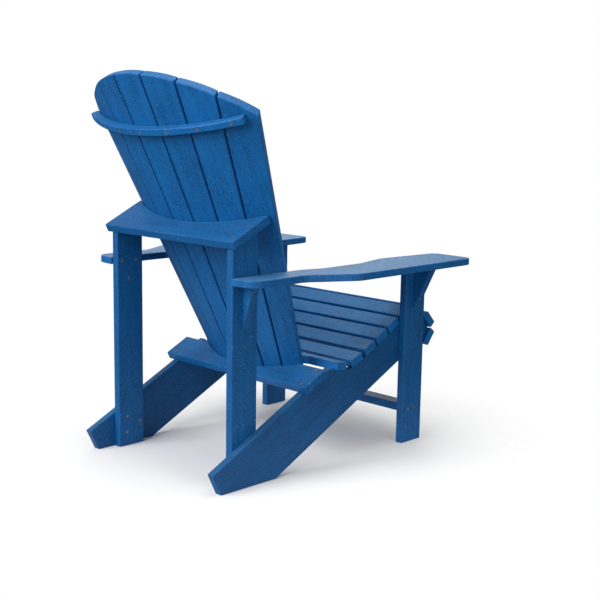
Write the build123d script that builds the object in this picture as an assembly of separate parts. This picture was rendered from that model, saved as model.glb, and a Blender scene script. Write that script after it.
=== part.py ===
from build123d import *
import os
from math import cos, hypot, radians, sin, sqrt, tan

# Adirondack chair in boards of recycled plastic, screwed together.
# Millimetres and degrees. The sitter faces -Y, +Z is up, the floor is z = 0 and the chair
# is symmetric about x = 0. Until the last step y = 0 is the front of the front legs.

# ---------------------------------------------------------------- driving dimensions
BOARD = 24.0                # thickness of every board but the arms
ARM_BOARD = 20.0            # thickness of the arms
LEG_WIDTH = 88.9            # width of the legs, the posts and the lower brace
SLAT_WIDTH = 50.0           # width of the seat slats and of the stretcher
EASE = 3.0                  # rounding along the edges of the boards
LEGS_OVERALL = 610.0        # over the outer faces of the front legs
LEG_HEIGHT = 542.0          # floor to the underside of the arms
POST_FRONT = 646.0          # front edge of the rear posts
LEAN = 26.3                 # slope of the stringers, and how far the back leans

STRINGER_TAIL = 820.0       # upper rear corner of the stringers
STRINGER_HEEL = 593.0       # where their lower edge leaves the floor
SEAT_START = (379.3, 266.7)        # where the seat begins on them, as y and z
SEAT_FACETS = (             # slope up towards the front, and length, of each flat
    (-7.5, 78.4),
    (21.7, 69.9),
    (28.3, 233.5),
    (-22.0, 52.0),
    (-47.0, 50.0),
    (-127.4, 49.0),
)
SEAT_SLATS = (              # node, the flat it lies on, its place along it, its overhang
    ("seat_slat_2", 1, 13.1, 0.0),
    ("seat_slat_3", 2, 7.0, 0.0),
    ("seat_slat_4", 2, 65.4, 0.0),
    ("seat_slat_5", 2, 123.8, 0.0),
    ("seat_slat_6", 2, 182.2, 0.0),
    ("seat_slat_7", 3, 1.0, 0.0),
    ("seat_slat_8", 4, 0.0, 13.0),
    ("seat_slat_9", 5, 0.0, 13.0),
)
REAR_SLAT_START = 20.0      # along the first flat, at its ends
REAR_SLAT_WIDTH = 42.5      # at its ends
REAR_SLAT_RADIUS = 255.0    # of its bowed rear edge
REAR_SLAT_CENTRE = 210.0    # of that edge, along the first flat

BACK_ROOT = (504.3, 242.0)  # rear top edge of the lower brace, as y and z
BACK_INSET = 34.5           # from that edge forward to the middle back slat
BACK_RADIUS = 372.0         # of the ring of back slats, at the lower brace
BACK_FLARE = 0.32           # growth of that radius for each unit up the back
BACK_ANGLE = 9.4            # between neighbouring back slats
BACK_GAP = 5.2              # between their rear faces
ARCH_RADIUS = 420.0         # of the arched top of the back
ARCH_CENTRE = 490.5         # of that arch, up the back from its root

LOWER_BRACE_LENGTH = 598.0
MID_BRACE_LENGTH = 544.0
MID_BRACE_REAR = 36.2       # its rear edge, behind the back's root
MID_BRACE_FRONT = 112.8     # its front edge, before the back's root
MID_BRACE_TOP = 480.5       # its top, up the back from the root
RAIL_TOP = 766.0            # the rail's top, up the back from the root
RAIL_HEIGHT = 21.0
RAIL_HALF_ANGLE = 29.5
RAIL_EASE = 4.0

ARM_OUTLINE = (             # x, y and corner radius
    (257.0, 742.0, 0.0),
    (336.0, 734.0, 40.0),
    (337.0, 548.4, 60.0),
    (413.0, 413.4, 40.0),
    (413.0, -86.6, 28.0),
    (268.0, -86.6, 28.0),
    (243.0, 143.4, 60.0),
    (274.0, 261.4, 60.0),
    (276.0, 418.4, 60.0),
    (257.0, 488.4, 60.0),
)
STRETCHER_FRONT = 16.4
STRETCHER_BOTTOM = 90.5
FRONT_BRACKET = (68.0, 129.0)      # width under the arm, and height
REAR_BRACKET = (45.0, 117.0)
BRACKET_TOE = 5.0           # blunt foot of the brackets
BRACKET_EASE = 1.8

SCREW_HEAD = 8.6
SCREW_SHANK = 4.4
SCREW_RIM = 0.4
SCREW_LENGTH = 44.0
SCREW_SUNK = 0.8            # head below the face of the board
DRIVE_SIZE = 2.6            # square drive
SLANT_SUNK = 2.6            # head below the sloping edge of a bracket
SEAT_SCREW_X = 264.0
LOWER_BRACE_SCREW_X = 271.0
MID_BRACE_SCREW_X = 248.0
RAIL_SCREW_ANGLE = 8.8      # between neighbouring screws of the rail
POCKET_ANGLE = 15.0         # of the pocket screws, from upright
POCKET_MOUTH = (67.0, 516.0)       # where the pocket meets the leg's face, as y and z
POCKET_DEPTH = 18.5         # along the pocket, from its mouth to the screw

# ---------------------------------------------------------------- worked-out dimensions
LEG_OUT = LEGS_OVERALL / 2
STRINGER_OUT = LEG_OUT - BOARD
STRINGER_IN = STRINGER_OUT - BOARD
POST_IN = STRINGER_IN - BOARD
POST_REAR = POST_FRONT + LEG_WIDTH
SLOPE = tan(radians(LEAN))
BACK = Plane(
    origin=(0, *BACK_ROOT),
    x_dir=(1, 0, 0),
    z_dir=(0, sin(radians(LEAN)), cos(radians(LEAN))),
)                           # its y runs down to the rear, its z up the back
BACK_NUMBERS = (-3, -2, -1, 0, 1, 2, 3)    # from the sitter's right


def polygon(points):
    return make_face(Polyline(*points, close=True))


def board_on_edge(points, x_low):
    """A board whose broad faces are upright and face sideways, outlined in y and z."""
    return extrude(Plane.YZ.offset(x_low) * polygon(points), BOARD)


def ease(board, radius=EASE):
    """The board with every edge rounded."""
    return fillet(board.edges(), radius)


# ---------------------------------------------------------------- legs, stringers, posts
def front_leg():
    box = Box(BOARD, LEG_WIDTH, LEG_HEIGHT)
    return ease(Pos(LEG_OUT - BOARD / 2, LEG_WIDTH / 2, LEG_HEIGHT / 2) * box)


def stringer_top(y):
    """Height of the stringers' straight top edge, which carries the lower brace."""
    under = BACK.from_local_coords((0, 0, -BOARD))
    return under.Z + (under.Y - y) * SLOPE


def seat_line():
    """Corners of the stringers' top edge under the seat, from the rear."""
    corners = [SEAT_START]
    for slope, length in SEAT_FACETS:
        y, z = corners[-1]
        angle = radians(slope)
        corners.append((y - length * cos(angle), z + length * sin(angle)))
    return corners


def stringer():
    seat = seat_line()
    lean = radians(LEAN)
    tail_height = stringer_top(STRINGER_TAIL)
    chin_height = seat[-1][1]
    step = (stringer_top(SEAT_START[0]) - SEAT_START[1]) * cos(lean)
    outline = [
        (STRINGER_HEEL, 0),
        (STRINGER_TAIL - tail_height * SLOPE, 0),
        (STRINGER_TAIL, tail_height),
        (SEAT_START[0] + step * sin(lean), SEAT_START[1] + step * cos(lean)),
        *seat,
        (STRINGER_HEEL - chin_height / SLOPE, chin_height),
    ]
    return ease(board_on_edge(outline, STRINGER_IN))


def post_top(y):
    """Height of the posts' slanting top, which is the underside of the middle brace."""
    under = BACK.from_local_coords((0, 0, MID_BRACE_TOP - BOARD))
    return under.Z + (under.Y - y) * SLOPE


def rear_post():
    outline = [
        (POST_FRONT, 0),
        (POST_REAR, 0),
        (POST_REAR, post_top(POST_REAR)),
        (POST_FRONT, post_top(POST_FRONT)),
    ]
    return ease(board_on_edge(outline, POST_IN))


def stretcher():
    box = Box(2 * STRINGER_OUT, SLAT_WIDTH, BOARD)
    middle = (0, STRETCHER_FRONT + SLAT_WIDTH / 2, STRETCHER_BOTTOM + BOARD / 2)
    return ease(Pos(*middle) * box)


# ---------------------------------------------------------------- arms and their brackets
def arm():
    outline = polygon([(x, y) for x, y, radius in ARM_OUTLINE])
    for x, y, radius in ARM_OUTLINE:
        if radius:
            corner = outline.vertices().sort_by_distance((x, y, 0))[0]
            outline = fillet(corner, radius)
    return ease(extrude(Pos(0, 0, LEG_HEIGHT) * outline, ARM_BOARD))


def bracket(size, x, y_middle):
    """A triangle that stands out from an upright board's face and carries the arm."""
    width, height = size
    outline = [
        (x, LEG_HEIGHT - height),
        (x + BRACKET_TOE, LEG_HEIGHT - height),
        (x + width, LEG_HEIGHT),
        (x, LEG_HEIGHT),
    ]
    face = Plane.XZ.offset(-y_middle) * polygon(outline)
    return ease(extrude(face, BOARD / 2, both=True), BRACKET_EASE)


def bracket_edge(size, x, z):
    """x of a bracket's sloping edge at a height."""
    width, height = size
    rise = (z - LEG_HEIGHT + height) / height
    return x + BRACKET_TOE + (width - BRACKET_TOE) * rise


# ---------------------------------------------------------------- back
def ring_radius(up):
    """Radius of the ring of back slats, on their rear faces, at a place up the back."""
    return BACK_RADIUS + BACK_FLARE * up


def ring_centre(up):
    return -BACK_INSET - ring_radius(up)


def slat_half_width(up):
    return ring_radius(up) * sin(radians(BACK_ANGLE / 2)) - BACK_GAP / 2


def hollow_radius(up):
    """Radius that clears the corners of the slats' rear faces."""
    return hypot(ring_radius(up), slat_half_width(up))


def ring_point(number, up):
    """Middle of a slat's rear face, in the back's own frame."""
    angle = radians(number * BACK_ANGLE)
    radius = ring_radius(up)
    return Vector(radius * sin(angle), ring_centre(up) + radius * cos(angle), up)


def slat_directions(number):
    """Directions across a back slat and out of its front face, in the back's own frame."""
    angle = radians(number * BACK_ANGLE)
    across = Vector(cos(angle), -sin(angle), 0)
    along = ring_point(number, 1) - ring_point(number, 0)
    return across, across.cross(along).normalized()


def under_the_arch():
    """The space between the underside of the lower brace and the arched top."""
    deep = 4 * ARCH_RADIUS
    dome = Pos(0, 0, ARCH_CENTRE) * Rot(90, 0, 0) * Cylinder(ARCH_RADIUS, deep)
    height = ARCH_CENTRE + BOARD
    below = Pos(0, 0, height / 2 - BOARD) * Box(2 * ARCH_RADIUS, deep, height)
    return dome + below


def back_slat(number, space):
    """A tapered slat, number 0 in the middle and positive to the sitter's left."""
    across, out = slat_directions(number)
    low = -2 * BOARD
    high = ARCH_CENTRE + ARCH_RADIUS + BOARD
    corners = [
        ring_point(number, low) - across * slat_half_width(low),
        ring_point(number, low) + across * slat_half_width(low),
        ring_point(number, high) + across * slat_half_width(high),
        ring_point(number, high) - across * slat_half_width(high),
    ]
    board = extrude(polygon(corners), amount=BOARD, dir=out)
    return BACK * ease(board & space)


def brace(length, rear, front, up):
    """A board across the back with its top at a height up, hollowed to take the slats."""
    plank = Pos(0, (rear - front) / 2) * Rectangle(length, rear + front)
    outline = plank - Pos(0, ring_centre(up)) * Circle(hollow_radius(up))
    return BACK * Pos(0, 0, up - BOARD) * ease(extrude(outline, BOARD))


def rail():
    """The bent strip behind the tops of the slats."""
    inner = hollow_radius(RAIL_TOP)
    half = radians(RAIL_HALF_ANGLE)
    far = 2 * inner
    wedge = polygon([(0, 0), (far * sin(half), far * cos(half)), (-far * sin(half), far * cos(half))])
    strip = extrude((Circle(inner + BOARD) - Circle(inner)) & wedge, RAIL_HEIGHT)
    middle = Pos(0, ring_centre(RAIL_TOP), RAIL_TOP - RAIL_HEIGHT)
    return BACK * middle * ease(strip, RAIL_EASE)


# ---------------------------------------------------------------- seat
def facet_plane(facet):
    """A flat of the stringers' top edge: y runs forward along it, z out of it."""
    y, z = seat_line()[facet]
    angle = radians(SEAT_FACETS[facet][0])
    return Plane(origin=(0, y, z), x_dir=(-1, 0, 0), z_dir=(0, sin(angle), cos(angle)))


def seat_slat(facet, start, overhang):
    box = Box(2 * (STRINGER_OUT + overhang), SLAT_WIDTH, BOARD)
    return facet_plane(facet) * Pos(0, start + SLAT_WIDTH / 2, BOARD / 2) * ease(box)


def rear_seat_slat():
    """The slat nearest the back, with a rear edge bowed to follow the back."""
    start = REAR_SLAT_START
    end = start + REAR_SLAT_WIDTH
    reach = sqrt(REAR_SLAT_RADIUS**2 - (REAR_SLAT_CENTRE - start) ** 2)
    sides = Polyline(
        (-reach, start),
        (-STRINGER_OUT, start),
        (-STRINGER_OUT, end),
        (STRINGER_OUT, end),
        (STRINGER_OUT, start),
        (reach, start),
    )
    bow = ThreePointArc((-reach, start), (0, REAR_SLAT_CENTRE - REAR_SLAT_RADIUS), (reach, start))
    return facet_plane(0) * ease(extrude(make_face([*sides.edges(), bow]), BOARD))


# ---------------------------------------------------------------- screws
class Screws:
    """The screws of one kind, and the holes they need."""

    def __init__(self, length=SCREW_LENGTH):
        neck = SCREW_RIM + (SCREW_HEAD - SCREW_SHANK) / 2
        profile = [
            (0, 0),
            (SCREW_HEAD / 2, 0),
            (SCREW_HEAD / 2, -SCREW_RIM),
            (SCREW_SHANK / 2, -neck),
            (SCREW_SHANK / 2, SCREW_SHANK - length),
            (0, -length),
        ]
        self.blank = revolve(Plane.XZ * polygon(profile), Axis.Z)
        self.screw = self.blank - Box(DRIVE_SIZE, DRIVE_SIZE, DRIVE_SIZE)
        self.solids = []
        self.holes = []

    def add(self, point, outward, sunk=SCREW_SUNK, mouth=SCREW_HEAD):
        """A screw driven in at a point of a board's face, with its head facing outward."""
        place = Plane(origin=point, z_dir=outward) * Pos(0, 0, -sunk)
        recess = Pos(0, 0, mouth / 2) * Cylinder(SCREW_HEAD / 2, mouth)
        self.solids += (place * self.screw).solids()
        self.holes.append(place * (self.blank + recess))

    def add_pair(self, point, outward, **more):
        """The same screw on each side of the chair."""
        for side in (1, -1):
            here = (side * point[0], *point[1:])
            self.add(here, (side * outward[0], *outward[1:]), **more)


def in_back(point, direction):
    """A point and a direction of the back's own frame, in the chair's."""
    start = BACK.from_local_coords(point)
    end = BACK.from_local_coords(Vector(*point) + Vector(*direction))
    return tuple(start), tuple(end - start)


def place_screws():
    """Every kind of screw: its node, its screws and the boards that they go through."""
    kinds = []
    back_slats = [f"back_slat_{number + 4}" for number in BACK_NUMBERS]

    foot = Screws()
    for y, z in ((705.0, 89.0), (659.0, 68.0), (707.0, 41.0)):
        foot.add_pair((POST_IN, y, z), (-1, 0, 0))
    kinds.append(("post_foot_screws", foot, ["rear_post", "stringer"]))

    post_arm = Screws()
    for y, z in ((720.0, 552.0), (670.0, 552.0), (694.5, 501.0)):
        post_arm.add_pair((POST_IN, y, z), (-1, 0, 0))
    kinds.append(("post_arm_screws", post_arm, ["rear_post", "arm", "rear_bracket"]))

    leg = Screws()
    for y, z in ((22.0, 340.0), (66.0, 330.0), (44.0, 300.0)):
        leg.add_pair((STRINGER_IN, y, z), (-1, 0, 0))
    kinds.append(("leg_screws", leg, ["front_leg", "stringer"]))

    tie = Screws()
    for y in (32.0, 61.0):
        tie.add_pair((LEG_OUT, y, STRETCHER_BOTTOM + BOARD / 2), (1, 0, 0))
    kinds.append(("stretcher_screws", tie, ["front_leg", "only stretcher"]))

    side = Screws(36.0)
    z = 443.0
    x = bracket_edge(FRONT_BRACKET, LEG_OUT, z)
    side.add_pair((x, 41.0, z), (1, 0, 0), sunk=SLANT_SUNK)
    kinds.append(("front_bracket_screws", side, ["front_bracket", "front_leg"]))

    up = Screws(36.0)
    z = 522.0
    x = bracket_edge(REAR_BRACKET, STRINGER_IN, z)
    up.add_pair((x, POST_FRONT + LEG_WIDTH / 2, z), (1, 0, -1), sunk=SLANT_SUNK)
    kinds.append(("rear_bracket_screws", up, ["rear_bracket", "arm"]))

    pocket = Screws(22.0)
    angle = radians(POCKET_ANGLE)
    y, z = POCKET_MOUTH
    head = (LEG_OUT - POCKET_DEPTH * sin(angle), y, z + POCKET_DEPTH * cos(angle))
    pocket.add_pair(head, (sin(angle), 0, -cos(angle)), sunk=0.0, mouth=60.0)
    kinds.append(("arm_pocket_screws", pocket, ["front_leg", "arm"]))

    low = Screws()
    for forward in (14.0, 79.0):
        low.add_pair(*in_back((LOWER_BRACE_SCREW_X, -forward, 0), (0, 0, 1)))
    kinds.append(("lower_brace_screws", low, ["stringer", "only lower_brace"]))

    mid = Screws()
    for forward in (-8.6, 50.0):
        mid.add_pair(*in_back((MID_BRACE_SCREW_X, -forward, MID_BRACE_TOP), (0, 0, 1)))
    kinds.append(("mid_brace_screws", mid, ["rear_post", "only mid_brace"]))

    for node, top in (("lower_brace", 0), ("mid_brace", MID_BRACE_TOP)):
        fronts = Screws()
        for number in BACK_NUMBERS:
            out = slat_directions(number)[1]
            point = ring_point(number, top - BOARD / 2) + out * BOARD
            fronts.add(*in_back(tuple(point), tuple(out)))
        boards = [f"only {name}" for name in [node, *back_slats]]
        kinds.append((f"back_to_{node}_screws", fronts, boards))

    rear = Screws()
    up = RAIL_TOP - RAIL_HEIGHT / 2
    for number in BACK_NUMBERS:
        angle = radians(number * RAIL_SCREW_ANGLE)
        radius = hollow_radius(RAIL_TOP) + BOARD
        point = (radius * sin(angle), ring_centre(RAIL_TOP) + radius * cos(angle), up)
        rear.add(*in_back(point, (sin(angle), cos(angle), 0)))
    kinds.append(("rail_screws", rear, [f"only {name}" for name in ["upper_rail", *back_slats]]))

    seat = Screws()
    middles = [(0, REAR_SLAT_START + REAR_SLAT_WIDTH / 2)]
    middles += [(facet, start + SLAT_WIDTH / 2) for node, facet, start, overhang in SEAT_SLATS]
    for facet, middle in middles:
        plane = facet_plane(facet)
        point = plane.from_local_coords((-SEAT_SCREW_X, middle, BOARD))
        seat.add_pair(tuple(point), tuple(plane.z_dir))
    boards = ["stringer", "only seat_slat_1"]
    boards += [f"only {node}" for node, facet, start, overhang in SEAT_SLATS]
    kinds.append(("seat_screws", seat, boards))
    return kinds


# ---------------------------------------------------------------- the chair
def boards():
    """Every board by its node; those that come in pairs are drawn on the left, at +x."""
    leg_middle = LEG_WIDTH / 2
    pairs = {
        "front_leg": front_leg(),
        "stringer": stringer(),
        "rear_post": rear_post(),
        "arm": arm(),
        "front_bracket": bracket(FRONT_BRACKET, LEG_OUT, leg_middle),
        "rear_bracket": bracket(REAR_BRACKET, STRINGER_IN, POST_FRONT + leg_middle),
    }
    single = {
        "stretcher": stretcher(),
        "lower_brace": brace(LOWER_BRACE_LENGTH, 0, LEG_WIDTH, 0),
        "mid_brace": brace(MID_BRACE_LENGTH, MID_BRACE_REAR, MID_BRACE_FRONT, MID_BRACE_TOP),
        "upper_rail": rail(),
        "seat_slat_1": rear_seat_slat(),
    }
    for node, facet, start, overhang in SEAT_SLATS:
        single[node] = seat_slat(facet, start, overhang)
    space = under_the_arch()
    for number in BACK_NUMBERS:
        single[f"back_slat_{number + 4}"] = back_slat(number, space)
    return pairs, single


def main():
    pairs, single = boards()
    parts = {}
    for node, screws, names in place_screws():
        for name in names:
            if name.startswith("only "):
                alone = name.removeprefix("only ")
                single[alone] = single[alone] - screws.holes
            else:
                pairs[name] = pairs[name] - screws.holes
        parts[node] = Compound(screws.solids)
    for name, board in pairs.items():
        parts[name + "_left"] = board
        parts[name + "_right"] = mirror(board, Plane.YZ)
    parts.update(single)

    box = Compound([solid for part in parts.values() for solid in part.solids()]).bounding_box()
    centred = Pos(0, -(box.min.Y + box.max.Y) / 2, 0)
    os.makedirs("parts", exist_ok=True)
    for node, part in parts.items():
        export_step(centred * part, f"parts/{node}.step")


main()
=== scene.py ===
import math

import bmesh
import bpy
from bpy.props import FloatProperty, FloatVectorProperty, IntProperty, PointerProperty
from mathutils import Matrix, Vector


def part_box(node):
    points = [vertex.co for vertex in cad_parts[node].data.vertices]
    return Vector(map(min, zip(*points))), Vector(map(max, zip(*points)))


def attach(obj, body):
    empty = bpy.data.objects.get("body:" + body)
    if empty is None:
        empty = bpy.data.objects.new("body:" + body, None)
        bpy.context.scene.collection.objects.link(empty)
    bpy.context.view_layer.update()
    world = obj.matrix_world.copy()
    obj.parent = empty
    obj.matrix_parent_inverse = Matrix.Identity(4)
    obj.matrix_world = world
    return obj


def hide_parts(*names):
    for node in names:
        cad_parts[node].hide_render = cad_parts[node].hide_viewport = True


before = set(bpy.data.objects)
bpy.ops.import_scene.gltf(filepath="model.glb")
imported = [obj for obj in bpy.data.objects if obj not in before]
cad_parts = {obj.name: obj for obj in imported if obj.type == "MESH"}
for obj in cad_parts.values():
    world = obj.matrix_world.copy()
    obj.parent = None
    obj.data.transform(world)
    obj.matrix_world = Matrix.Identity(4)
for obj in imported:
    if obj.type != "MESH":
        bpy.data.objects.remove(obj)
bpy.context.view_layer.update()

bl_info = {
    "name": "Adirondack chair",
    "version": (1, 0, 0),
    "blender": (4, 5, 0),
    "location": "3D View > Sidebar > Chair",
    "description": "Finishes an adirondack chair of recycled plastic boards and lights it",
    "category": "Object",
}

VECTOR = "NodeSocketVector"
NUMBER = "NodeSocketFloat"
SAME_POINT = 1e-6
SENSOR_WIDTH = 36

# ------------------------------------------------------------------ the chair's own facts
LEAN = math.radians(26.3)
LENGTHWAYS = {
    "upright": Vector((0, 0, 1)),
    "crosswise": Vector((1, 0, 0)),
    "front_to_back": Vector((0, 1, 0)),
    "up_the_back": Vector((0, math.sin(LEAN), math.cos(LEAN))),
    "down_the_stringer": Vector((0, math.cos(LEAN), -math.sin(LEAN))),
}
SIDES = ("left", "right")
SCREW_NODES = sorted(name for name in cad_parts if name.endswith("_screws"))
FACE_DEPTH = 0.0003             # points this near a screw's top are on its head's face

# ------------------------------------------------------------------ how the boards look
FLOW_STRETCH = 14.0             # length of the flow lines, for each unit of their width
LIGHTER = 1.3                   # the lighter colour of the flow, from the plain colour
STREAK_SHARE = 0.35             # most that the flow lines lighten a board
PATCH_SHARE = 0.25              # most that the cloudy patches lighten it
FLECK_SHOW = 0.55               # how strongly a fleck shows
WEAR_SHOW = 0.3                 # how strongly a rubbed edge shows
PIT_SPACING = 0.021
PIT_SIZE = 0.003
PIT_COLOUR = (0.002, 0.012, 0.04)
PIT_HEIGHT = -3.0               # these two are in units of the skin's relief
STREAK_HEIGHT = 0.12
SKIN_ROUGHNESS = -0.16          # change of the roughness from low spots to high ones
WEAR_ROUGHNESS = -0.08
PLASTIC_IOR = 1.5
PLASTIC_SPECULAR = 0.2
SHADE_SPREAD = 0.05             # how far the slats differ from one another
# Painted light: the seat slats are made lighter than the other boards, as if lit from above.
SEAT_PAINTED_LIGHT = 1.15               # the seat slats against the other boards

# ------------------------------------------------------------------ how the screws look
SCREW_PEBBLE = 0.0011
SCREW_EDGE = 0.0004
SCREW_RELIEF = 0.0001
SCREW_METALLIC = 0.55
SCREW_DARK = 0.3                # colour of the coating's low spots, from its own
BARE_STEEL = (0.6, 0.5, 0.4)
STEEL_SHOW = 0.6                # how strongly the bare steel shows at the edges
SCREW_TURN = math.radians(137.5)    # from the drive of one screw to that of the next
DISH = 0.00025                  # depth of the dish in the head
DISH_RIM = 0.86                 # where the dish ends, as a share of the head
DRIVE_MOUTH = 0.78              # radius of the drive's mouth, as a share of its width
DRIVE_TAPER = 0.8               # its bottom, as a share of its mouth


def both(*names):
    """The names of the left and right boards of each pair."""
    return [f"{name}_{side}" for name in names for side in SIDES]


# ------------------------------------------------------------------ sizes and colours
class BoardLook(bpy.types.PropertyGroup):
    """The plastic that every board is made of."""

    colour: FloatVectorProperty(
        name="Colour",
        description="Colour of the plastic, all the way through",
        subtype="COLOR",
        size=3,
        min=0,
        max=1,
        default=(0.004, 0.1, 0.3),
    )
    deep_colour: FloatVectorProperty(
        name="Deep colour",
        description="Colour between the pebbles of the skin",
        subtype="COLOR",
        size=3,
        min=0,
        max=1,
        default=(0.002, 0.048, 0.15),
    )
    fleck_colour: FloatVectorProperty(
        name="Fleck colour",
        description="Colour of the pale flecks of other plastic",
        subtype="COLOR",
        size=3,
        min=0,
        max=1,
        default=(0.16, 0.38, 0.6),
    )
    # This colour gives the upward faces a dusty film and a painted sheen, and it also colours the
    # rubbed corners.
    dust_sheen_and_wear_colour: FloatVectorProperty(
        name="Dust colour",
        description="Colour of the dust on the upper faces and of rubbed corners",
        subtype="COLOR",
        size=3,
        min=0,
        max=1,
        default=(0.18, 0.34, 0.4),
    )
    pebble: FloatProperty(
        name="Pebble",
        description="Distance between the pebbles of the skin",
        subtype="DISTANCE",
        unit="LENGTH",
        min=0.001,
        default=0.0042,
    )
    relief: FloatProperty(
        name="Relief",
        description="How far the pebbles stand out",
        subtype="DISTANCE",
        unit="LENGTH",
        min=0,
        default=0.0008,
    )
    fleck_spacing: FloatProperty(
        name="Fleck spacing",
        description="Distance between the places that may hold a fleck",
        subtype="DISTANCE",
        unit="LENGTH",
        min=0.002,
        default=0.013,
    )
    fleck_size: FloatProperty(
        name="Fleck size",
        description="Radius of a fleck",
        subtype="DISTANCE",
        unit="LENGTH",
        min=0.0002,
        default=0.0018,
    )
    fleck_share: FloatProperty(
        name="Fleck share",
        description="Share of the places that hold a fleck",
        subtype="FACTOR",
        min=0,
        max=1,
        default=0.28,
    )
    edge: FloatProperty(
        name="Worn edge",
        description="Width of the rubbed band along the edges",
        subtype="DISTANCE",
        unit="LENGTH",
        min=0,
        default=0.003,
    )
    roughness: FloatProperty(
        name="Roughness",
        description="Roughness of the skin, on the whole",
        subtype="FACTOR",
        min=0,
        max=1,
        default=0.5,
    )


class ScrewLook(bpy.types.PropertyGroup):
    """The coated screws that hold the boards."""

    colour: FloatVectorProperty(
        name="Colour",
        description="Colour of the tan coating",
        subtype="COLOR",
        size=3,
        min=0,
        max=1,
        default=(0.44, 0.31, 0.2),
    )
    head: FloatProperty(
        name="Head",
        description="Width of the countersunk head",
        subtype="DISTANCE",
        unit="LENGTH",
        min=0.002,
        default=0.0086,
    )
    shank: FloatProperty(
        name="Shank",
        description="Width of the shank",
        subtype="DISTANCE",
        unit="LENGTH",
        min=0.001,
        default=0.0044,
    )
    rim: FloatProperty(
        name="Rim",
        description="Height of the head's upright rim",
        subtype="DISTANCE",
        unit="LENGTH",
        min=0.0001,
        default=0.0004,
    )
    drive: FloatProperty(
        name="Drive",
        description="Width of the square drive",
        subtype="DISTANCE",
        unit="LENGTH",
        min=0.001,
        default=0.0028,
    )
    drive_depth: FloatProperty(
        name="Drive depth",
        description="Depth of the square drive",
        subtype="DISTANCE",
        unit="LENGTH",
        min=0.0002,
        default=0.0018,
    )
    facets: IntProperty(
        name="Facets",
        description="Facets round the head, in fours",
        min=8,
        max=64,
        step=4,
        default=24,
    )


class StageLook(bpy.types.PropertyGroup):
    """The floor, the lights and the camera."""

    floor_colour: FloatVectorProperty(
        name="Floor",
        description="Colour of the floor",
        subtype="COLOR",
        size=3,
        min=0,
        max=1,
        default=(0.8, 0.8, 0.8),
    )
    floor_radius: FloatProperty(
        name="Floor radius",
        description="Where the floor has faded away",
        subtype="DISTANCE",
        unit="LENGTH",
        min=1,
        default=1.02,
    )
    key: FloatProperty(
        name="Key light",
        description="Power of the light behind the chair",
        subtype="POWER",
        unit="POWER",
        min=0,
        default=235,
    )
    top: FloatProperty(
        name="Top light",
        description="Power of the light overhead",
        subtype="POWER",
        unit="POWER",
        min=0,
        default=68,
    )
    front: FloatProperty(
        name="Front light",
        description="Power of the light that glances off the tops of the boards",
        subtype="POWER",
        unit="POWER",
        min=0,
        default=28,
    )
    side: FloatProperty(
        name="Side light",
        description="Power of the light at the sitter's right",
        subtype="POWER",
        unit="POWER",
        min=0,
        default=40,
    )
    surround: FloatProperty(
        name="Surround",
        description="Brightness of the studio round the chair",
        subtype="FACTOR",
        min=0,
        max=2,
        default=0.33,
    )
    turn: FloatProperty(
        name="Camera turn",
        description="Direction of the camera's view, round the chair from its rear",
        subtype="ANGLE",
        unit="ROTATION",
        default=math.radians(44.38),
    )
    dip: FloatProperty(
        name="Camera dip",
        description="How far the camera looks down",
        subtype="ANGLE",
        unit="ROTATION",
        default=math.radians(9.87),
    )
    tilt: FloatProperty(
        name="Camera tilt",
        description="How far the camera leans to its left",
        subtype="ANGLE",
        unit="ROTATION",
        default=math.radians(0.97),
    )
    lens: FloatProperty(
        name="Lens",
        description="Focal length, in millimetres",
        subtype="DISTANCE_CAMERA",
        unit="CAMERA",
        min=10,
        default=66.9,
    )
    place: FloatVectorProperty(
        name="Camera place",
        description="Where the camera is, from the front of the legs on the chair's middle line",
        subtype="TRANSLATION",
        unit="LENGTH",
        size=3,
        default=(-2.3504, 2.6266, 0.999),
    )


# ------------------------------------------------------------------ building node trees
def feed(tree, socket, value):
    """Gives an input the output of another node, or a value of its own."""
    if isinstance(value, bpy.types.NodeSocket):
        tree.links.new(value, socket)
    else:
        socket.default_value = value


def add_node(tree, kind, links=None, **settings):
    """A node with its settings; links pairs its inputs with an output or a value."""
    node = tree.nodes.new(kind)
    for name, value in settings.items():
        setattr(node, name, value)
    for name, value in (links or {}).items():
        feed(tree, node.inputs[name], value)
    return node


def maths(tree, operation, first, second):
    """The result of one sum on two values."""
    return add_node(tree, "ShaderNodeMath", {0: first, 1: second}, operation=operation).outputs[0]


def between(tree, value, low, high, to_low=0.0, to_high=1.0):
    """A value brought smoothly from one range to another, and held inside it."""
    links = {"Value": value, "From Min": low, "From Max": high, "To Min": to_low, "To Max": to_high}
    return add_node(tree, "ShaderNodeMapRange", links, interpolation_type="SMOOTHSTEP").outputs[0]


def mixed(tree, amount, first, second):
    """Two colours mixed."""
    node = add_node(tree, "ShaderNodeMix", data_type="RGBA")
    for name, value in (("Factor", amount), ("A", first), ("B", second)):
        feed(tree, next(s for s in node.inputs if s.name == name and s.enabled), value)
    return next(s for s in node.outputs if s.enabled)


def noise(tree, place, scale, detail=2.0, rough=0.5):
    """Cloudy noise round a half."""
    links = {"Vector": place, "Scale": scale, "Detail": detail, "Roughness": rough}
    return add_node(tree, "ShaderNodeTexNoise", links).outputs["Fac"]


def new_group(name, inputs, outputs):
    """An empty node group with named sockets; returns it, its input node and its output node."""
    tree = bpy.data.node_groups.new(name, "ShaderNodeTree")
    for socket, kind in inputs.items():
        tree.interface.new_socket(socket, in_out="INPUT", socket_type=kind)
    for socket, kind in outputs.items():
        tree.interface.new_socket(socket, in_out="OUTPUT", socket_type=kind)
    return tree, tree.nodes.new("NodeGroupInput"), tree.nodes.new("NodeGroupOutput")


def fill_group(tree, name, links):
    """A node group placed in a material, with its own values."""
    return add_node(tree, "ShaderNodeGroup", links, node_tree=bpy.data.node_groups[name])


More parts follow.
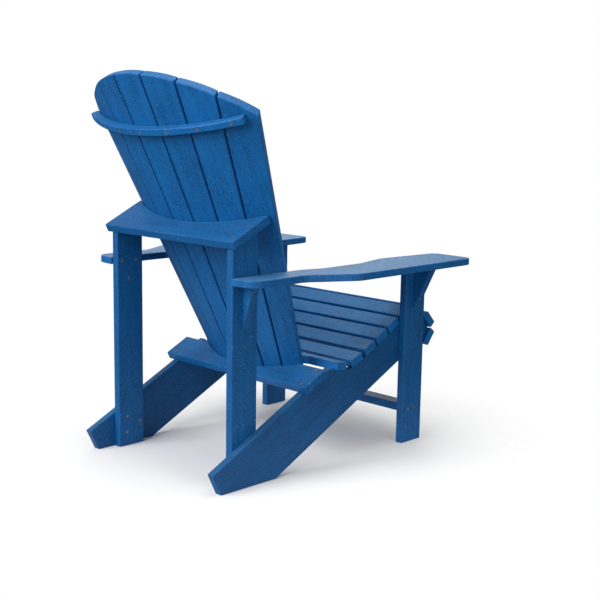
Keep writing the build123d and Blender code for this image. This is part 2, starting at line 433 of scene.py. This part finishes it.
def pebble_group():
    """The fine pebbled skin: a mask of its high spots and its height."""
    tree, inside, out = new_group(
        "Pebbled skin",
        {"Vector": VECTOR, "Spacing": NUMBER},
        {"Mask": NUMBER, "Height": NUMBER},
    )
    scale = maths(tree, "DIVIDE", 1.0, inside.outputs["Spacing"])
    coarse_scale = maths(tree, "MULTIPLY", scale, 0.28)
    fine = noise(tree, inside.outputs["Vector"], scale, detail=3.0, rough=0.6)
    coarse = noise(tree, inside.outputs["Vector"], coarse_scale)
    coarse_part = maths(tree, "MULTIPLY", coarse, 0.6)
    fine_part = maths(tree, "MULTIPLY", fine, 0.4)
    height = maths(tree, "ADD", coarse_part, fine_part)
    tree.links.new(between(tree, fine, low=0.36, high=0.66), out.inputs["Mask"])
    tree.links.new(height, out.inputs["Height"])


def flow_group():
    """Marks that run along a board as the plastic flowed, and broad cloudy patches."""
    tree, inside, out = new_group(
        "Board flow",
        {"Vector": VECTOR, "Along": VECTOR},
        {"Streaks": NUMBER, "Patches": NUMBER},
    )
    streaks = noise(tree, inside.outputs["Along"], scale=70.0, detail=4.0, rough=0.62)
    patches = noise(tree, inside.outputs["Vector"], scale=9.0, detail=3.0, rough=0.55)
    tree.links.new(between(tree, streaks, low=0.34, high=0.7), out.inputs["Streaks"])
    tree.links.new(between(tree, patches, low=0.32, high=0.7), out.inputs["Patches"])


def fleck_group():
    """Scattered small spots, as a mask."""
    tree, inside, out = new_group(
        "Scattered flecks",
        {"Vector": VECTOR, "Spacing": NUMBER, "Size": NUMBER, "Share": NUMBER},
        {"Mask": NUMBER},
    )
    scale = maths(tree, "DIVIDE", 1.0, inside.outputs["Spacing"])
    links = {"Vector": inside.outputs["Vector"], "Scale": scale}
    cells = add_node(tree, "ShaderNodeTexVoronoi", links)
    away = maths(tree, "MULTIPLY", cells.outputs["Distance"], inside.outputs["Spacing"])
    chance = add_node(tree, "ShaderNodeSeparateColor", {"Color": cells.outputs["Color"]})
    chosen = maths(tree, "LESS_THAN", chance.outputs[0], inside.outputs["Share"])
    smallest, spread = 0.4, 0.8
    own_size = maths(tree, "ADD", maths(tree, "MULTIPLY", chance.outputs[1], spread), smallest)
    reach = maths(tree, "MULTIPLY", inside.outputs["Size"], own_size)
    core = maths(tree, "MULTIPLY", reach, 0.5)
    spot = maths(tree, "SUBTRACT", 1.0, between(tree, away, core, reach))
    tree.links.new(maths(tree, "MULTIPLY", spot, chosen), out.inputs["Mask"])


def wear_group():
    """A mask of the rubbed edges and corners, broken up along their length."""
    tree, inside, out = new_group(
        "Rubbed edges",
        {"Vector": VECTOR, "Width": NUMBER},
        {"Mask": NUMBER},
    )
    rounded = add_node(tree, "ShaderNodeBevel", {"Radius": inside.outputs["Width"]}, samples=4)
    facing = add_node(tree, "ShaderNodeNewGeometry").outputs["Normal"]
    links = {0: rounded.outputs["Normal"], 1: facing}
    same = add_node(tree, "ShaderNodeVectorMath", links, operation="DOT_PRODUCT").outputs["Value"]
    bent = between(tree, maths(tree, "SUBTRACT", 1.0, same), low=0.02, high=0.22)
    grain = noise(tree, inside.outputs["Vector"], scale=120.0, detail=4.0, rough=0.7)
    broken = between(tree, grain, low=0.4, high=0.62)
    tree.links.new(maths(tree, "MULTIPLY", bent, broken), out.inputs["Mask"])


def dust_and_sheen_group():
    """A mask of the upward faces, for their dusty film and a painted sheen where light glances off
    them.
    """
    tree, inside, out = new_group("Settled dust", {"Vector": VECTOR}, {"Mask": NUMBER})
    facing = add_node(tree, "ShaderNodeNewGeometry").outputs["Normal"]
    up = add_node(tree, "ShaderNodeSeparateXYZ", {"Vector": facing}).outputs["Z"]
    grain = noise(tree, inside.outputs["Vector"], scale=35.0, detail=5.0, rough=0.7)
    cloud = between(tree, grain, low=0.25, high=0.75, to_low=0.55)
    level = between(tree, up, low=0.55, high=1.0)
    tree.links.new(maths(tree, "MULTIPLY", level, cloud), out.inputs["Mask"])


def new_material(name):
    """An empty material; returns it, its tree and its object coordinates."""
    material = bpy.data.materials.new(name)
    material.use_nodes = True
    tree = material.node_tree
    tree.nodes.clear()
    return material, tree, tree.nodes.new("ShaderNodeTexCoord").outputs["Object"]


def finish_material(tree, shader):
    """Joins the shader to the material's output."""
    tree.links.new(shader.outputs[0], add_node(tree, "ShaderNodeOutputMaterial").inputs["Surface"])


def opaque(colour):
    """A colour with full alpha."""
    return (*colour, 1.0)


def covered(tree, colour, mask, strength, cover):
    """A colour, with a flat one laid over it where the mask says."""
    return mixed(tree, maths(tree, "MULTIPLY", mask, strength), colour, opaque(cover))


def board_material(name, lengthways, shade, dust_and_sheen, pits=0.0):
    """Blue recycled plastic, with its flow lines along the board."""
    look = bpy.context.scene.chair_boards
    material, tree, place = new_material(name)
    turn = Vector((1, 0, 0)).rotation_difference(LENGTHWAYS[lengthways]).to_euler()
    links = {"Vector": place, "Rotation": turn, "Scale": (FLOW_STRETCH, 1.0, 1.0)}
    along = add_node(tree, "ShaderNodeMapping", links, vector_type="TEXTURE").outputs[0]

    skin = fill_group(tree, "Pebbled skin", {"Vector": place, "Spacing": look.pebble})
    flow = fill_group(tree, "Board flow", {"Vector": place, "Along": along})
    fleck_links = {
        "Vector": place,
        "Spacing": look.fleck_spacing,
        "Size": look.fleck_size,
        "Share": look.fleck_share,
    }
    flecks = fill_group(tree, "Scattered flecks", fleck_links)
    pit_links = {"Vector": place, "Spacing": PIT_SPACING, "Size": PIT_SIZE, "Share": pits}
    holes = fill_group(tree, "Scattered flecks", pit_links)
    rubbed = fill_group(tree, "Rubbed edges", {"Vector": place, "Width": look.edge})
    dust_and_sheen_node = fill_group(tree, "Settled dust", {"Vector": place})

    # shade scales a whole board's colour; for the stringers, the legs and posts, and the seat it
    # stands for painted shade and painted light.
    main = [shade * value for value in look.colour]
    deep = [shade * value for value in look.deep_colour]
    light = [LIGHTER * value for value in main]
    colour = mixed(tree, skin.outputs["Mask"], opaque(deep), opaque(main))
    colour = covered(tree, colour, flow.outputs["Streaks"], STREAK_SHARE, light)
    colour = covered(tree, colour, flow.outputs["Patches"], PATCH_SHARE, light)
    colour = covered(tree, colour, flecks.outputs["Mask"], FLECK_SHOW, look.fleck_colour)
    # Painted sheen and a dusty film lighten the upward faces.
    colour = covered(tree, colour, dust_and_sheen_node.outputs["Mask"], dust_and_sheen, look.dust_sheen_and_wear_colour)
    colour = covered(tree, colour, rubbed.outputs["Mask"], WEAR_SHOW, look.dust_sheen_and_wear_colour)
    colour = mixed(tree, holes.outputs["Mask"], colour, opaque(PIT_COLOUR))

    high = maths(tree, "SUBTRACT", skin.outputs["Mask"], 0.5)
    smoother = maths(tree, "MULTIPLY", high, SKIN_ROUGHNESS)
    rough = maths(tree, "ADD", smoother, look.roughness)
    polish = maths(tree, "MULTIPLY", rubbed.outputs["Mask"], WEAR_ROUGHNESS)
    rough = maths(tree, "ADD", rough, polish)
    streak = maths(tree, "MULTIPLY", flow.outputs["Streaks"], STREAK_HEIGHT)
    height = maths(tree, "ADD", skin.outputs["Height"], streak)
    pit = maths(tree, "MULTIPLY", holes.outputs["Mask"], PIT_HEIGHT)
    height = maths(tree, "ADD", height, pit)
    links = {"Strength": 1.0, "Distance": look.relief, "Height": height}
    bump = add_node(tree, "ShaderNodeBump", links)
    shader_links = {
        "Base Color": colour,
        "Roughness": rough,
        "Normal": bump.outputs[0],
        "IOR": PLASTIC_IOR,
        "Specular IOR Level": PLASTIC_SPECULAR,
    }
    finish_material(tree, add_node(tree, "ShaderNodeBsdfPrincipled", shader_links))
    return material


def screw_material():
    """The tan coating of the screws, rubbed to bare steel at its edges."""
    look = bpy.context.scene.chair_screws
    material, tree, place = new_material("Coated screw")
    skin = fill_group(tree, "Pebbled skin", {"Vector": place, "Spacing": SCREW_PEBBLE})
    rubbed = fill_group(tree, "Rubbed edges", {"Vector": place, "Width": SCREW_EDGE})
    dark = [SCREW_DARK * value for value in look.colour]
    colour = mixed(tree, skin.outputs["Mask"], opaque(dark), opaque(look.colour))
    colour = covered(tree, colour, rubbed.outputs["Mask"], STEEL_SHOW, BARE_STEEL)
    rough = between(tree, skin.outputs["Mask"], 0.0, 1.0, to_low=0.55, to_high=0.38)
    links = {"Strength": 0.6, "Distance": SCREW_RELIEF, "Height": skin.outputs["Height"]}
    bump = add_node(tree, "ShaderNodeBump", links)
    shader_links = {
        "Base Color": colour,
        "Roughness": rough,
        "Metallic": SCREW_METALLIC,
        "Normal": bump.outputs[0],
    }
    finish_material(tree, add_node(tree, "ShaderNodeBsdfPrincipled", shader_links))
    return material


def floor_material():
    """Pale matt floor that fades away at its rim."""
    look = bpy.context.scene.chair_stage
    material, tree, place = new_material("Studio floor")
    away = add_node(tree, "ShaderNodeVectorMath", {0: place}, operation="LENGTH").outputs["Value"]
    fade_start = 0.3 * look.floor_radius
    fade_end = 0.99 * look.floor_radius
    shown = between(tree, away, fade_start, fade_end, to_low=1.0, to_high=0.0)
    cloud = between(tree, noise(tree, place, scale=3.0), low=0.3, high=0.7)
    dull = [0.985 * value for value in look.floor_colour]
    colour = mixed(tree, cloud, opaque(dull), opaque(look.floor_colour))
    links = {"Base Color": colour, "Roughness": 0.75, "Specular IOR Level": 0.15, "Alpha": shown}
    finish_material(tree, add_node(tree, "ShaderNodeBsdfPrincipled", links))
    return material


# ------------------------------------------------------------------ shapes
def middle_of(points):
    return sum(points, Vector()) / len(points)


def finish_mesh(bm, name, material):
    """The shape as an object at the origin, smooth but for its sharp edges."""
    bmesh.ops.remove_doubles(bm, verts=bm.verts, dist=1e-7)
    bmesh.ops.recalc_face_normals(bm, faces=bm.faces)
    mesh = bpy.data.meshes.new(name)
    bm.to_mesh(mesh)
    bm.free()
    mesh.materials.append(material)
    mesh.shade_smooth()
    mesh.set_sharp_from_angle(angle=math.radians(35))
    shape = bpy.data.objects.new(name, mesh)
    bpy.context.scene.collection.objects.link(shape)
    return shape


def separate_solids(node):
    """The corners of each separate solid in a CAD node, sorted by where the solid is."""
    bm = bmesh.new()
    bm.from_mesh(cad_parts[node].data)
    bmesh.ops.remove_doubles(bm, verts=bm.verts, dist=SAME_POINT)
    left = set(bm.verts)
    solids = []
    while left:
        reached = {left.pop()}
        frontier = list(reached)
        while frontier:
            vert = frontier.pop()
            for edge in vert.link_edges:
                other = edge.other_vert(vert)
                if other not in reached:
                    reached.add(other)
                    frontier.append(other)
        left -= reached
        solids.append([vert.co.copy() for vert in reached])
    bm.free()
    return sorted(solids, key=lambda points: tuple(round(c, 4) for c in middle_of(points)))


def screw_place(points):
    """The middle of a screw's head, the direction that it faces, and the screw's length."""
    middle = middle_of(points)
    tip = max(points, key=lambda point: (point - middle).length)
    rough_axis = (middle - tip).normalized()
    top = max((point - tip).dot(rough_axis) for point in points)
    head = middle_of([p for p in points if (p - tip).dot(rough_axis) > top - FACE_DEPTH])
    return head, (head - tip).normalized(), (head - tip).length


def screw_shape(look, length):
    """A countersunk screw with a square drive, its head facing up from the origin."""
    bm = bmesh.new()
    head = look.head / 2
    shank = look.shank / 2
    mouth = DRIVE_MOUTH * look.drive
    neck = look.rim + head - shank
    profile = [
        (mouth, -DISH),
        (DISH_RIM * head, 0),
        (head, -0.5 * look.rim),
        (head, -look.rim),
        (shank, -neck),
        (shank, 2 * shank - length),
        (0, -length),
    ]
    line = [bm.verts.new((x, 0, z)) for x, z in profile]
    edges = [bm.edges.new(pair) for pair in zip(line, line[1:])]
    bmesh.ops.spin(
        bm,
        geom=line + edges,
        cent=(0, 0, 0),
        axis=(0, 0, 1),
        angle=2 * math.pi,
        steps=look.facets,
        use_merge=True,
    )
    bmesh.ops.remove_doubles(bm, verts=bm.verts, dist=1e-7)

    def on_ring(vert):
        off_height = abs(vert.co.z + DISH)
        off_radius = abs(vert.co.xy.length - mouth)
        return max(off_height, off_radius) < SAME_POINT

    ring = [edge for edge in bm.edges if all(on_ring(vert) for vert in edge.verts)]
    square = bmesh.ops.create_circle(bm, cap_ends=False, segments=4, radius=look.drive / math.sqrt(2))
    bmesh.ops.translate(bm, verts=square["verts"], vec=(0, 0, -DISH))
    sides = list({edge for vert in square["verts"] for edge in vert.link_edges})
    cut = bmesh.ops.subdivide_edges(bm, edges=sides, cuts=look.facets // 4 - 1)
    wall_top = [item for item in cut["geom"] if isinstance(item, bmesh.types.BMEdge)]
    wall_top = list({edge for edge in wall_top + sides if edge.is_valid})
    bmesh.ops.bridge_loops(bm, edges=ring + wall_top)
    walls = bmesh.ops.extrude_edge_only(bm, edges=wall_top)["geom"]
    floor = [item for item in walls if isinstance(item, bmesh.types.BMVert)]
    bmesh.ops.scale(bm, verts=floor, vec=(DRIVE_TAPER, DRIVE_TAPER, 1))
    bmesh.ops.translate(bm, verts=floor, vec=(0, 0, -look.drive_depth))
    rim = [item for item in walls if isinstance(item, bmesh.types.BMEdge) and item.is_boundary]
    bmesh.ops.edgeloop_fill(bm, edges=rim)
    mesh = bpy.data.meshes.new("one_screw")
    bm.to_mesh(mesh)
    bm.free()
    return mesh


def screws_of(node, material):
    """Puts detailed screws in the place of a CAD node's plain ones."""
    look = bpy.context.scene.chair_screws
    bm = bmesh.new()
    blanks = {}
    for number, points in enumerate(separate_solids(node)):
        head, outward, length = screw_place(points)
        size = round(length, 4)
        if size not in blanks:
            blanks[size] = screw_shape(look, length)
        start = len(bm.verts)
        bm.from_mesh(blanks[size])
        bm.verts.ensure_lookup_table()
        turn = Matrix.Rotation(number * SCREW_TURN, 4, "Z")
        place = Matrix.Translation(head) @ outward.to_track_quat("Z", "Y").to_matrix().to_4x4()
        bmesh.ops.transform(bm, matrix=place @ turn, verts=bm.verts[start:])
    for mesh in blanks.values():
        bpy.data.meshes.remove(mesh)
    screws = finish_mesh(bm, f"{node}_driven", material)
    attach(screws, "root")
    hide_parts(node)


def paint(names, material):
    """Gives CAD boards their material; their shape stays the CAD's own."""
    for name in names:
        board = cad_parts[name]
        board.data.materials.clear()
        board.data.materials.append(material)


# ------------------------------------------------------------------ floor, lights, camera
def make_floor(look):
    """A round floor, as wide as its fading needs."""
    bm = bmesh.new()
    bmesh.ops.create_circle(bm, cap_ends=True, segments=96, radius=look.floor_radius)
    floor = finish_mesh(bm, "studio_floor", floor_material())


def make_surround(look):
    """A white studio: bright to look at, dim as a light."""
    world = bpy.data.worlds.new("Studio")
    bpy.context.scene.world = world
    world.use_nodes = True
    tree = world.node_tree
    tree.nodes.clear()
    direction = add_node(tree, "ShaderNodeTexCoord").outputs["Generated"]
    height = add_node(tree, "ShaderNodeSeparateXYZ", {"Vector": direction}).outputs["Z"]
    low_glow = 0.35 * look.surround
    high_glow = 1.35 * look.surround
    glow = between(tree, height, low=-0.4, high=0.5, to_low=low_glow, to_high=high_glow)
    seen = add_node(tree, "ShaderNodeLightPath").outputs["Is Camera Ray"]
    links = {"Value": seen, "To Min": glow, "To Max": 1.0}
    strength = add_node(tree, "ShaderNodeMapRange", links).outputs[0]
    links = {"Color": opaque((1, 1, 1)), "Strength": strength}
    shader = add_node(tree, "ShaderNodeBackground", links)
    tree.links.new(shader.outputs[0], add_node(tree, "ShaderNodeOutputWorld").inputs["Surface"])


def add_light(name, power, size, place, aim_height):
    """A square soft light aimed at a height over the middle of the floor."""
    light = bpy.data.lights.new(name, "AREA")
    light.energy = power
    light.size = size
    lamp = bpy.data.objects.new(name, light)
    bpy.context.scene.collection.objects.link(lamp)
    aim = Vector((0, 0, aim_height)) - Vector(place)
    turn = aim.to_track_quat("-Z", "Y").to_matrix().to_4x4()
    lamp.matrix_world = Matrix.Translation(place) @ turn


def make_camera(look):
    """A camera behind the chair, to the sitter's right."""
    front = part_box("front_leg_left")[0].y
    data = bpy.data.cameras.new("camera")
    data.sensor_width = SENSOR_WIDTH
    data.lens = look.lens
    camera = bpy.data.objects.new("camera", data)
    bpy.context.scene.collection.objects.link(camera)
    heading = Matrix.Rotation(math.pi + look.turn, 4, "Z")
    dip = Matrix.Rotation(math.pi / 2 - look.dip, 4, "X")
    tilt = Matrix.Rotation(look.tilt, 4, "Z")
    place = Vector(look.place) + Vector((0, front, 0))
    camera.matrix_world = Matrix.Translation(place) @ heading @ dip @ tilt
    bpy.context.scene.camera = camera


# ------------------------------------------------------------------ operators
class CHAIR_OT_effects(bpy.types.Operator):
    """Build the effects that the materials share"""

    bl_idname = "chair.effects"
    bl_label = "Material effects"

    def execute(self, context):
        pebble_group()
        flow_group()
        fleck_group()
        wear_group()
        dust_and_sheen_group()
        return {"FINISHED"}


class CHAIR_OT_uprights(bpy.types.Operator):
    """Finish the front legs and the rear posts"""

    bl_idname = "chair.uprights"
    bl_label = "Legs and posts"

    def execute(self, context):
        names = both("front_leg", "rear_post")
        # shade=0.86 paints some shade on the legs and posts, which are of the same plastic as the
        # other boards.
        paint(names, board_material("Upright board", "upright", shade=0.86, dust_and_sheen=0.05))
        return {"FINISHED"}


class CHAIR_OT_stringers(bpy.types.Operator):
    """Finish the two sloping side boards"""

    bl_idname = "chair.stringers"
    bl_label = "Stringers"

    def execute(self, context):
        names = both("stringer")
        # shade=0.7 paints shade on the stringers, which are darker than the other boards of the same
        # plastic.
        material = board_material("Stringer board", "down_the_stringer", shade=0.7, dust_and_sheen=0.1)
        paint(names, material)
        return {"FINISHED"}


class CHAIR_OT_arms(bpy.types.Operator):
    """Finish the two arms"""

    bl_idname = "chair.arms"
    bl_label = "Arms"

    def execute(self, context):
        names = both("arm")
        paint(names, board_material("Arm board", "front_to_back", shade=1.0, dust_and_sheen=0.27))
        return {"FINISHED"}


class CHAIR_OT_brackets(bpy.types.Operator):
    """Finish the four triangles under the arms"""

    bl_idname = "chair.brackets"
    bl_label = "Brackets"

    def execute(self, context):
        names = both("front_bracket", "rear_bracket")
        paint(names, board_material("Bracket board", "upright", shade=0.9, dust_and_sheen=0.05))
        return {"FINISHED"}


class CHAIR_OT_braces(bpy.types.Operator):
    """Finish the boards that join the two sides behind the back, and the stretcher"""

    bl_idname = "chair.braces"
    bl_label = "Braces and stretcher"

    def execute(self, context):
        names = ["lower_brace", "mid_brace", "stretcher"]
        material = board_material("Brace board", "crosswise", shade=0.92, dust_and_sheen=0.05, pits=0.1)
        paint(names, material)
        return {"FINISHED"}


class CHAIR_OT_rail(bpy.types.Operator):
    """Finish the bent rail behind the tops of the slats"""

    bl_idname = "chair.rail"
    bl_label = "Upper rail"

    def execute(self, context):
        material = board_material("Rail board", "crosswise", shade=1.05, dust_and_sheen=0.05)
        paint(["upper_rail"], material)
        return {"FINISHED"}


class CHAIR_OT_back(bpy.types.Operator):
    """Finish the seven slats of the back, each a little different in shade"""

    bl_idname = "chair.back"
    bl_label = "Back slats"

    def execute(self, context):
        slats = sorted(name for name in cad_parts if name.startswith("back_slat_"))
        for number, name in enumerate(slats):
            shade = 1.0 + SHADE_SPREAD * math.sin(2.4 * number)
            material = board_material(f"Back board {number + 1}", "up_the_back", shade, dust_and_sheen=0.1)
            paint([name], material)
        return {"FINISHED"}


class CHAIR_OT_seat(bpy.types.Operator):
    """Finish the nine slats of the seat, each a little different in shade"""

    bl_idname = "chair.seat"
    bl_label = "Seat slats"

    def execute(self, context):
        slats = sorted(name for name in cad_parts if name.startswith("seat_slat_"))
        for number, name in enumerate(slats):
            # The seat slats are painted lighter than the other boards, a painted light on the seat.
            shade = SEAT_PAINTED_LIGHT * (1.0 + SHADE_SPREAD * math.sin(2.0 * number))
            material = board_material(f"Seat board {number + 1}", "crosswise", shade, dust_and_sheen=0.26)
            paint([name], material)
        return {"FINISHED"}


class CHAIR_OT_screws(bpy.types.Operator):
    """Make every screw, with its countersunk head and square drive"""

    bl_idname = "chair.screws"
    bl_label = "Screws"

    def execute(self, context):
        material = screw_material()
        for node in SCREW_NODES:
            screws_of(node, material)
        return {"FINISHED"}


class CHAIR_OT_stage(bpy.types.Operator):
    """Make the floor, the studio lights and the camera"""

    bl_idname = "chair.stage"
    bl_label = "Stage"

    def execute(self, context):
        look = context.scene.chair_stage
        context.scene.view_settings.view_transform = "Standard"
        make_floor(look)
        make_surround(look)
        add_light("key_light", look.key, size=3.4, place=(0.4, 3.7, 2.3), aim_height=0.45)
        add_light("top_light", look.top, size=2.6, place=(-0.4, -0.3, 3.6), aim_height=0.4)
        add_light("side_light", look.side, size=1.3, place=(-3.5, 0.9, 0.75), aim_height=0.5)
        add_light("front_light", look.front, size=2.6, place=(3.0, -2.8, 1.5), aim_height=0.5)
        make_camera(look)
        return {"FINISHED"}


# ------------------------------------------------------------------ panel and registration
OPERATORS = (
    CHAIR_OT_effects,
    CHAIR_OT_uprights,
    CHAIR_OT_stringers,
    CHAIR_OT_arms,
    CHAIR_OT_brackets,
    CHAIR_OT_braces,
    CHAIR_OT_rail,
    CHAIR_OT_back,
    CHAIR_OT_seat,
    CHAIR_OT_screws,
    CHAIR_OT_stage,
)


class CHAIR_PT_panel(bpy.types.Panel):
    """The chair's sizes, colours and steps"""

    bl_label = "Adirondack chair"
    bl_idname = "CHAIR_PT_panel"
    bl_space_type = "VIEW_3D"
    bl_region_type = "UI"
    bl_category = "Chair"

    def draw(self, context):
        scene = context.scene
        for look in (scene.chair_boards, scene.chair_screws, scene.chair_stage):
            box = self.layout.box()
            for name in look.__annotations__:
                box.prop(look, name)
        column = self.layout.column(align=True)
        for operator in OPERATORS:
            column.operator(operator.bl_idname)


CLASSES = (BoardLook, ScrewLook, StageLook, *OPERATORS, CHAIR_PT_panel)


def register():
    for item in CLASSES:
        bpy.utils.register_class(item)
    bpy.types.Scene.chair_boards = PointerProperty(type=BoardLook)
    bpy.types.Scene.chair_screws = PointerProperty(type=ScrewLook)
    bpy.types.Scene.chair_stage = PointerProperty(type=StageLook)


def unregister():
    del bpy.types.Scene.chair_stage
    del bpy.types.Scene.chair_screws
    del bpy.types.Scene.chair_boards
    for item in reversed(CLASSES):
        bpy.utils.unregister_class(item)


def main():
    register()
    bpy.ops.chair.effects()
    bpy.ops.chair.uprights()
    bpy.ops.chair.stringers()
    bpy.ops.chair.arms()
    bpy.ops.chair.brackets()
    bpy.ops.chair.braces()
    bpy.ops.chair.rail()
    bpy.ops.chair.back()
    bpy.ops.chair.seat()
    bpy.ops.chair.screws()
    bpy.ops.chair.stage()
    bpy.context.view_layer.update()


if __name__ == "__main__":
    main()
